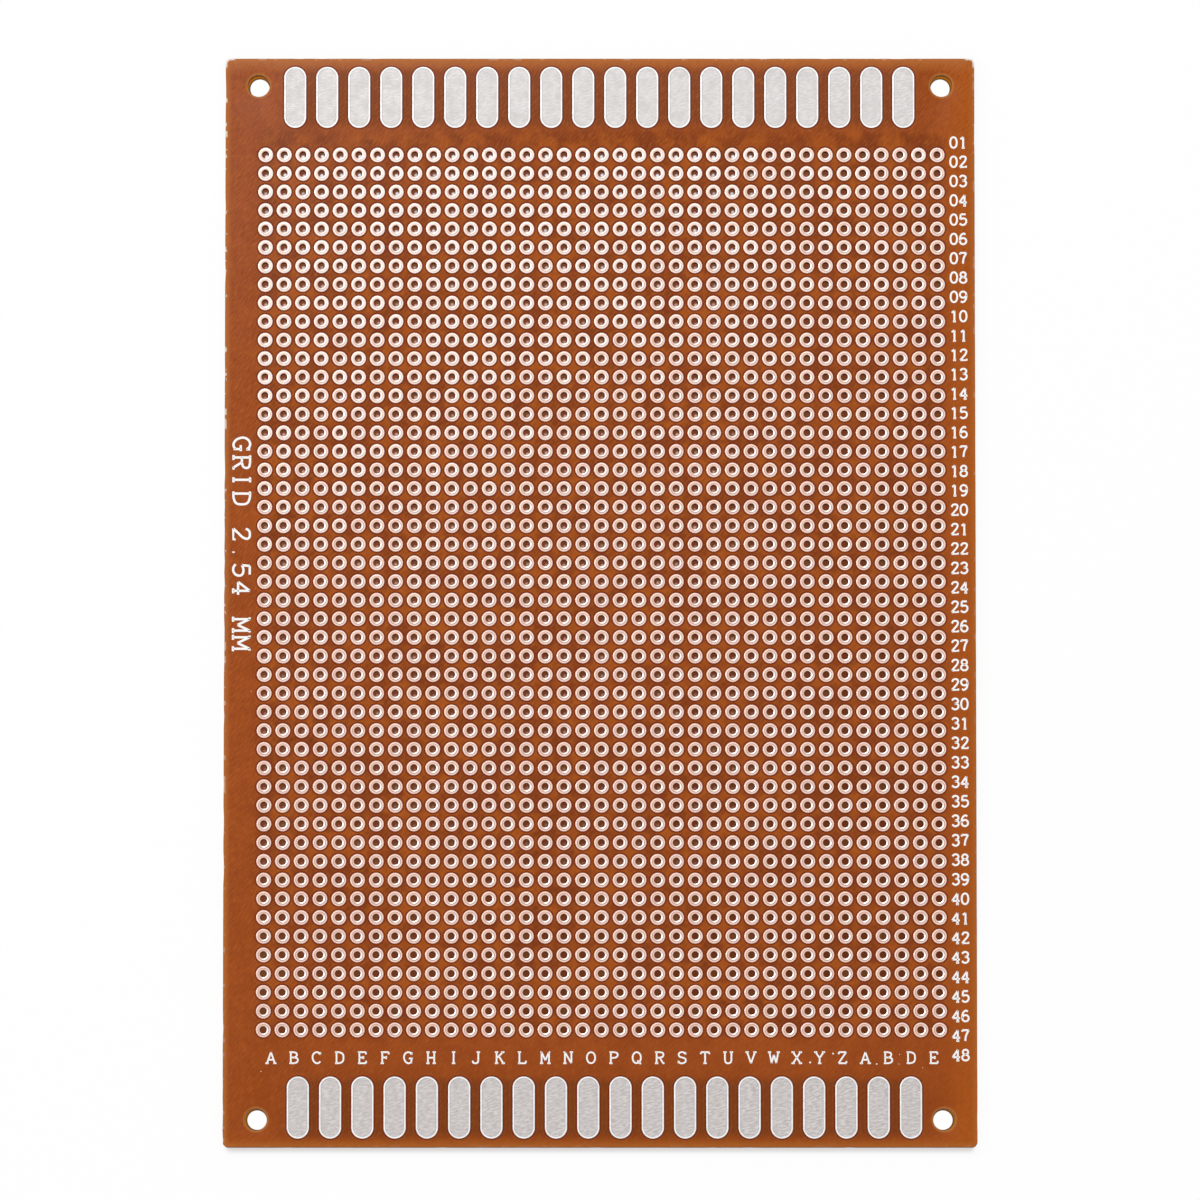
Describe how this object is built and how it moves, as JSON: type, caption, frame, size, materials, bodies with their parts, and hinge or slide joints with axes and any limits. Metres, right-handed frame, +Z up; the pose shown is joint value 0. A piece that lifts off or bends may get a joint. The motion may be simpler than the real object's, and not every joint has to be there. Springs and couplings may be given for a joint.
{
  "type": "prototype board",
  "caption": "Flat brown laminate board drilled on a square grid, with a tinned ring pad at each hole, contact fingers along both ends and a fixing hole in each corner.",
  "frame": {"origin": "under the middle of the board, on the surface it lies on", "axes": "+X across the board to the side with the row numbers, +Y along the board away from the column letters, +Z up out of the face with the pads"},
  "size_m": [0.102, 0.1484, 0.0016],
  "materials": {
    "laminate": "satin",
    "tinned_copper": "satin",
    "legend_ink": "matte"
  },
  "bodies": {
    "root": {"board": "laminate", "contact_fingers_top": "tinned_copper", "contact_fingers_bottom": "tinned_copper", "pad_row_01": "tinned_copper", "pad_row_02": "tinned_copper", "pad_row_03": "tinned_copper", "pad_row_04": "tinned_copper", "pad_row_05": "tinned_copper", "pad_row_06": "tinned_copper", "pad_row_07": "tinned_copper", "pad_row_08": "tinned_copper", "pad_row_09": "tinned_copper", "pad_row_10": "tinned_copper", "pad_row_11": "tinned_copper", "pad_row_12": "tinned_copper", "pad_row_13": "tinned_copper", "pad_row_14": "tinned_copper", "pad_row_15": "tinned_copper", "pad_row_16": "tinned_copper", "pad_row_17": "tinned_copper", "pad_row_18": "tinned_copper", "pad_row_19": "tinned_copper", "pad_row_20": "tinned_copper", "pad_row_21": "tinned_copper", "pad_row_22": "tinned_copper", "pad_row_23": "tinned_copper", "pad_row_24": "tinned_copper", "pad_row_25": "tinned_copper", "pad_row_26": "tinned_copper", "pad_row_27": "tinned_copper", "pad_row_28": "tinned_copper", "pad_row_29": "tinned_copper", "pad_row_30": "tinned_copper", "pad_row_31": "tinned_copper", "pad_row_32": "tinned_copper", "pad_row_33": "tinned_copper", "pad_row_34": "tinned_copper", "pad_row_35": "tinned_copper", "pad_row_36": "tinned_copper", "pad_row_37": "tinned_copper", "pad_row_38": "tinned_copper", "pad_row_39": "tinned_copper", "pad_row_40": "tinned_copper", "pad_row_41": "tinned_copper", "pad_row_42": "tinned_copper", "pad_row_43": "tinned_copper", "pad_row_44": "tinned_copper", "pad_row_45": "tinned_copper", "pad_row_46": "tinned_copper", "pad_row_47": "tinned_copper", "pad_row_48": "tinned_copper"}
  },
  "joints": []
}
